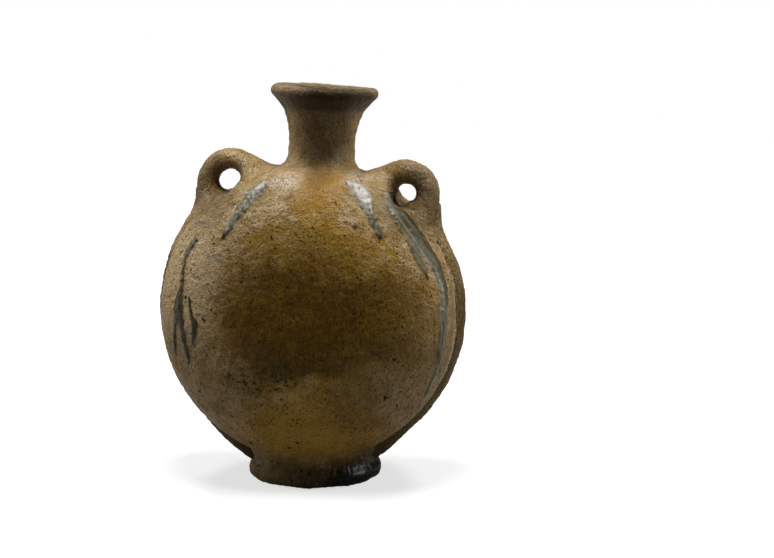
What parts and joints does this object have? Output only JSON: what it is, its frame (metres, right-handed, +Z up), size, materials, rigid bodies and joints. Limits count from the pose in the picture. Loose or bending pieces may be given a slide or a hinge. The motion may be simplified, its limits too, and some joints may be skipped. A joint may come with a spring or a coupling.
{
  "type": "pottery jug",
  "caption": "Round-bellied pottery jug with a flared neck, pierced shoulder lugs, raised side seams and a ring foot; holds liquid and stands on its foot.",
  "frame": {"origin": "middle of the jug's width and depth, on the floor under the foot", "axes": "+Z up through the neck, +X to the right in the picture's view, -Y towards the front"},
  "size_m": [0.2598, 0.19, 0.329],
  "materials": {
    "ash_glaze": "satin olive-brown ash glaze",
    "brown_glaze": "thin dark brown glaze",
    "glaze_run": "glossy blue-grey run of melted ash"
  },
  "bodies": {
    "root": {"front_shell": "ash_glaze", "back_shell": "ash_glaze", "neck": "ash_glaze", "neck_coil": "ash_glaze", "left_lug": "ash_glaze", "right_lug": "ash_glaze", "left_seam_strip": "brown_glaze", "right_seam_strip": "brown_glaze", "foot_ring": "brown_glaze", "foot_coil": "ash_glaze"}
  },
  "joints": []
}
